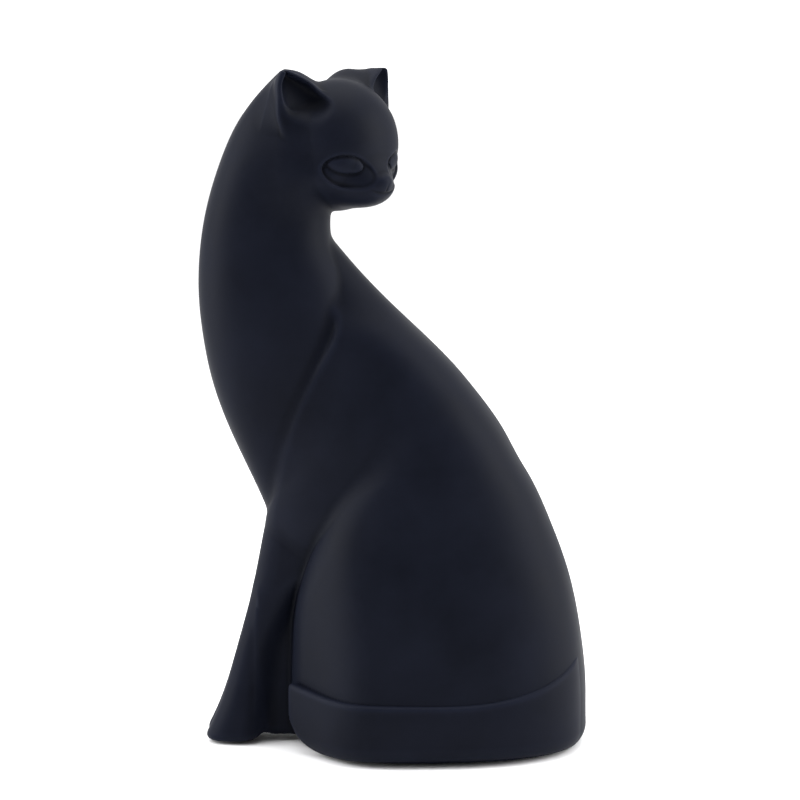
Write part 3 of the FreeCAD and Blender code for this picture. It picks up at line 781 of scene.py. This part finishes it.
@dataclass(frozen=True)
class SatinGlaze:
    """Blue-black satin glaze: pooled a little darker in the hollows, drawn thin and paler over the edges."""

    name: str = "satin_blue_black_glaze"
    pooled: str = "080A11"
    thin: str = "151823"
    thinning: tuple = (0.55, 1.75)  # range of blotch and edge together that runs from pooled to thin
    roughness: tuple = (0.50 - 0.05, 0.50 + 0.06)
    ior: float = 1.5
    gleam: float = 0.04
    blotch_mm: float = 26.0
    grain_mm: float = 0.55
    grain_rise_mm: float = 0.012
    ripple_mm: float = 7.0
    ripple_rise_mm: float = 0.05

    def make(self) -> Material:
        """Build the glaze's node material."""
        g = Graph(self.name)
        place = g.add("ShaderNodeTexCoord").outputs["Object"]
        edge = g.add("ShaderNodeAttribute", attribute_name="edge").outputs["Fac"]
        blotch = g.noise(place, self.blotch_mm, 3.0)
        drift = g.add("ShaderNodeMath", {0: blotch, 1: edge}, operation="ADD").outputs[0]
        g.shade(Socket.COLOUR, g.mix(g.spread(drift, self.thinning, (0.0, 1.0)), self.pooled, self.thin))
        g.shade(Socket.ROUGHNESS, g.spread(blotch, (0.3, 0.7), self.roughness))
        g.shade(Socket.IOR, self.ior)
        g.shade(Socket.GLEAM, self.gleam)
        fine = g.bump(g.noise(place, self.grain_mm, 2.0), self.grain_rise_mm, 0.5)
        g.shade(Socket.NORMAL, g.bump(g.noise(place, self.ripple_mm, 1.0), self.ripple_rise_mm, 0.4, fine))
        return g.material


@dataclass(frozen=True)
class PressedFelt:
    """Dark pressed wool felt: short matted fibres."""

    name: str = "pressed_felt"
    dark: str = "17171A"
    light: str = "2C2C30"
    fibre_mm: float = 0.12
    fibre_rise_mm: float = 0.12
    mat_mm: float = 1.1
    roughness: float = 0.95
    sheen: float = 0.4
    sheen_roughness: float = 0.6

    def make(self) -> Material:
        """Build the felt's node material."""
        g = Graph(self.name)
        place = g.add("ShaderNodeTexCoord").outputs["Object"]
        fibre = g.noise(place, self.fibre_mm, 4.0)
        mat = g.noise(place, self.mat_mm, 3.0)
        mixed = g.add("ShaderNodeMath", {0: fibre, 1: mat}, operation="MULTIPLY").outputs[0]
        g.shade(Socket.COLOUR, g.mix(g.spread(mixed, (0.1, 0.45), (0.0, 1.0)), self.dark, self.light))
        g.shade(Socket.ROUGHNESS, self.roughness)
        g.shade(Socket.SHEEN, self.sheen)
        g.shade(Socket.SHEEN_ROUGHNESS, self.sheen_roughness)
        g.shade(Socket.NORMAL, g.bump(mixed, self.fibre_rise_mm, 0.8))
        return g.material


@dataclass(frozen=True)
class PaleSweep:
    """Matt off-white studio floor."""

    name: str = "pale_sweep"
    colour: str = "F4F4F5"
    roughness: float = 0.85

    def make(self) -> Material:
        """Build the floor's node material."""
        g = Graph(self.name)
        g.shade(Socket.COLOUR, srgb(self.colour))
        g.shade(Socket.ROUGHNESS, self.roughness)
        return g.material


# ---------------------------------------------------------------- the pieces
def edge_values(mesh: Mesh, form: Form, reach: float = 1.2, contrast: float = 0.9) -> None:
    """Store whether points lie on an edge (above 0.5) or in a hollow, from the field's bending."""
    points = from_frame(read_points(mesh))
    bending = -6.0 * form(points)
    for step in np.eye(3) * reach:
        bending += form(points + step) + form(points - step)
    value = np.clip(0.5 + contrast * bending / reach, 0.0, 1.0)
    layer = mesh.attributes.new("edge", "FLOAT", "POINT")
    layer.data.foreach_set("value", value.astype(np.float32))


@dataclass(frozen=True)
class Casting:
    """A piece of glazed clay, drawn from its field on a grid whose corners are in drawn millimetres."""

    form: Form
    name: str
    cell: float
    low: tuple
    high: tuple
    keep_above_seam: bool | None = None  # side of the neck seam to keep, or None for a whole piece

    def build(self) -> Object:
        """Mesh the field, cut it at the seam, and give it the field's own normals and its edge values."""
        points, quads = LevelMesher(self.form, self.cell, self.low, self.high).build()
        mesh = mesh_from(self.name, to_frame(points), quads.tolist())
        if self.keep_above_seam is not None:
            cut_level(mesh, (NECK_SEAM_HEIGHT + PAD_THICKNESS) * MM, self.keep_above_seam)
        set_form_normals(mesh, self.form)
        edge_values(mesh, self.form)
        return add_object(self.name, mesh)


@dataclass(frozen=True)
class BodyCasting(Casting):
    """The hollow body: neck, chest, forelegs and haunches, open at the neck seam where the head sits."""

    name: str = "body_glazed"
    cell: float = 0.95
    low: tuple = (-71.5, -48.8, -1.4)
    high: tuple = (72.5, 48.8, 191.5)
    keep_above_seam: bool = False

    def dress(self, piece: Object, glaze: Material) -> None:
        """Glaze it and let it stand for its casting."""
        piece.data.materials.append(glaze)
        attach(piece, "root")
        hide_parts("body_casting")


@dataclass(frozen=True)
class HeadCasting(Casting):
    """The hollow head with its ears, cut level at the neck seam."""

    name: str = "head_glazed"
    cell: float = 0.42
    low: tuple = (-68.0, -28.0, 187.5)
    high: tuple = (6.0, 26.0, 241.5)
    keep_above_seam: bool = True

    def dress(self, piece: Object, glaze: Material) -> None:
        """Glaze it and let it stand for its casting."""
        piece.data.materials.append(glaze)
        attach(piece, "root")
        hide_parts("head_casting")


@dataclass(frozen=True)
class TailCasting(Casting):
    """The tail, luted round the left haunch."""

    name: str = "tail_glazed"
    cell: float = 0.55
    low: tuple = (-39.0, -49.0, -1.0)
    high: tuple = (71.0, -9.0, 40.0)

    def dress(self, piece: Object, glaze: Material) -> None:
        """Glaze it and let it stand for its casting."""
        piece.data.materials.append(glaze)
        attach(piece, "root")
        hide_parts("tail_casting")


def turned(name: str, outline: list, centre: tuple, closed: bool, count: int = 96) -> Object:
    """Turn an outline about an upright line.

    Args:
        name: the object's name.
        outline: (radius, height) pairs in drawn millimetres, from the bottom up the outside and over the top;
            a radius of zero at either end closes it with one vertex.
        centre: x and y of the line.
        closed: whether the outline's last point joins its first, as round a hole.
        count: points round it.

    Returns:
        The object, at the origin.
    """
    angle = 2.0 * math.pi * np.arange(count) / count
    rings, points, total = [], [], 0
    for radius, height in outline:
        spin = angle if radius > 0.0 else angle[:1]
        points.append(np.stack([centre[0] + radius * np.cos(spin), centre[1] + radius * np.sin(spin),
                                np.full(len(spin), height)], axis=1))
        rings.append(total + np.arange(count) % len(spin))
        total += len(spin)
    faces = []
    for k in range(len(outline) if closed else len(outline) - 1):
        lower, upper = rings[k].tolist(), rings[(k + 1) % len(outline)].tolist()
        for i in range(count):
            j = (i + 1) % count
            faces.append(list(dict.fromkeys((lower[i], lower[j], upper[j], upper[i]))))
    return add_object(name, mesh_from(name, to_frame(np.concatenate(points)), faces))


@dataclass(frozen=True)
class BaseDisc:
    """The luted disc that closes the pour opening, with its vent hole; its edges are sponged round."""

    centre: tuple = (16.0, 0.0)
    radius: float = 19.0
    thickness: float = 4.0
    vent: float = 1.5
    round_off: float = 0.6

    def build(self) -> Object:
        """Turn the disc's section round its middle."""
        r, e, t, v = self.radius, self.round_off, self.thickness, self.vent
        sweep = np.linspace(0.0, 0.5 * math.pi, 6)
        outline = [(r - e + e * math.sin(a), e - e * math.cos(a)) for a in sweep]
        outline += [(r - e + e * math.cos(a), t - e + e * math.sin(a)) for a in sweep]
        outline += [(v + e - e * math.sin(a), t - e + e * math.cos(a)) for a in sweep]
        outline += [(v + e - e * math.cos(a), e - e * math.sin(a)) for a in sweep]
        return turned("base_disc_glazed", outline, self.centre, closed=True)

    def dress(self, piece: Object, glaze: Material) -> None:
        """Glaze it and let it stand for its node."""
        piece.data.materials.append(glaze)
        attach(piece, "root")
        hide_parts("base_disc")


@dataclass(frozen=True)
class FeltPad:
    """A punched disc of pressed felt, with a slightly crushed edge."""

    node: str
    centre: tuple
    radius: float
    thickness: float = PAD_THICKNESS
    round_off: float = 0.3

    def build(self) -> Object:
        """Turn the pad's section round its middle."""
        r, e, t = self.radius, self.round_off, self.thickness
        sweep = np.linspace(0.0, 0.5 * math.pi, 5)
        outline = [(0.0, -t)] + [(r - e + e * math.sin(a), -t + e - e * math.cos(a)) for a in sweep]
        outline += [(r - 0.5 * e + 0.5 * e * math.cos(a), -0.5 * e + 0.5 * e * math.sin(a)) for a in sweep]
        return turned(self.node + "_felt", outline + [(0.0, 0.0)], self.centre, closed=False, count=64)

    def dress(self, piece: Object, felt: Material) -> None:
        """Give it the felt and let it stand for its node."""
        piece.data.materials.append(felt)
        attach(piece, "root")
        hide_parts(self.node)


PADS = (FeltPad("pad_paws", (-57.0, 0.0), 5.0), FeltPad("pad_left", (16.0, -31.6), 6.0),
        FeltPad("pad_right", (16.0, 31.6), 6.0), FeltPad("pad_rear", (57.4, 0.0), 6.0))


# ---------------------------------------------------------------- the studio
@dataclass(frozen=True)
class Softbox:
    """A square area light aimed at a point, sizes in metres."""

    name: str
    place: tuple
    aim: tuple
    width: float
    height: float
    power: float

    def build(self) -> None:
        """Add the light."""
        light = bpy.data.lights.new(self.name, "AREA")
        light.shape = "RECTANGLE"
        light.size, light.size_y = self.width, self.height
        light.energy = self.power
        holder = add_object(self.name, light)
        holder.location = self.place
        holder.rotation_euler = aim_rotation(self.place, self.aim)


def aim_rotation(place: tuple, aim: tuple) -> tuple:
    """The turn that points a camera or light at a place."""
    return (Vector(aim) - Vector(place)).to_track_quat("-Z", "Y").to_euler()


@dataclass(frozen=True)
class Studio:
    """A white sweep with soft lights at both sides and above, and a long lens a little above the table."""

    distance: float = 1.0
    rise: float = math.radians(8.0)
    target: tuple = (0.0021, 0.0, 0.1234)
    lens: float = 126.0
    sensor: float = 36.0
    clip: tuple = (0.05, 30.0)
    floor_half: float = 6.0
    sky_way: tuple = (0.0, 1.0, 0.8)  # the surroundings are brightest this way, behind and above the figure
    sky_span: tuple = (-0.6, 0.5)  # range along that way
    sky_strength: tuple = (0.10, 1.45)  # and the strengths at its ends
    boxes: tuple = (
        Softbox("left_box", (-0.75, -0.10, 0.35), (0.0, 0.0, 0.13), 0.6, 0.9, 9.0),
        Softbox("right_box", (0.75, -0.05, 0.35), (0.0, 0.0, 0.13), 0.6, 0.9, 9.0),
        Softbox("top_box", (0.0, 0.05, 0.95), (0.0, 0.0, 0.1), 0.9, 0.7, 7.0),
    )

    def build(self) -> None:
        """Add floor, lights, surroundings and camera."""
        self.add_floor()
        for box in self.boxes:
            box.build()
        self.add_surroundings()
        self.add_camera()
        bpy.context.scene.view_settings.view_transform = "Standard"

    def add_floor(self) -> None:
        """Add the pale floor as stage, not as a piece."""
        mesh = bpy.data.meshes.new("floor")
        h = self.floor_half
        mesh.from_pydata([(-h, -h, 0), (h, -h, 0), (h, h, 0), (-h, h, 0)], [], [(0, 1, 2, 3)])
        floor = add_object("floor", mesh)
        floor.data.materials.append(PaleSweep().make())

    def add_surroundings(self) -> None:
        """Make the surroundings white, and dimmer on the camera's side."""
        world = bpy.data.worlds.new("studio")
        world.use_nodes = True
        nodes, links = world.node_tree.nodes, world.node_tree.links
        back = nodes["Background"]
        back.inputs["Color"].default_value = (1.0, 1.0, 1.0, 1.0)
        way = nodes.new("ShaderNodeVectorMath")
        way.operation = "DOT_PRODUCT"
        way.inputs[1].default_value = self.sky_way
        links.new(nodes.new("ShaderNodeTexCoord").outputs["Generated"], way.inputs[0])
        fall = nodes.new("ShaderNodeMapRange")
        ends = ("From Min", "From Max", "To Min", "To Max")
        for key, value in zip(ends, self.sky_span + self.sky_strength):
            fall.inputs[key].default_value = value
        links.new(way.outputs["Value"], fall.inputs["Value"])
        links.new(fall.outputs["Result"], back.inputs["Strength"])
        bpy.context.scene.world = world

    def add_camera(self) -> None:
        """Add the camera in front of the left flank, looking a little down."""
        camera = bpy.data.cameras.new("camera")
        camera.lens = self.lens
        camera.sensor_width = self.sensor
        camera.clip_start, camera.clip_end = self.clip
        holder = add_object("camera", camera)
        x, y, z = self.target
        back, up = self.distance * math.cos(self.rise), self.distance * math.sin(self.rise)
        holder.location = (x, y - back, z + up)
        holder.rotation_euler = aim_rotation(holder.location, self.target)
        bpy.context.scene.camera = holder


def main() -> None:
    """Build every piece, dress it and set up the studio."""
    logging.basicConfig(level=logging.INFO, format="%(message)s")
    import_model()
    body = BodyForm()
    form = FigureForm(body, HeadForm(body))
    glaze, felt = SatinGlaze().make(), PressedFelt().make()
    makers = [(BodyCasting(form), glaze), (HeadCasting(form), glaze), (TailCasting(TailForm(body)), glaze),
              (BaseDisc(), glaze)]
    for maker, finish in makers + [(pad, felt) for pad in PADS]:
        piece = maker.build()
        maker.dress(piece, finish)
        LOG.info("%s: %d vertices, %d faces", piece.name, len(piece.data.vertices), len(piece.data.polygons))
    Studio().build()


if __name__ == "__main__":
    main()
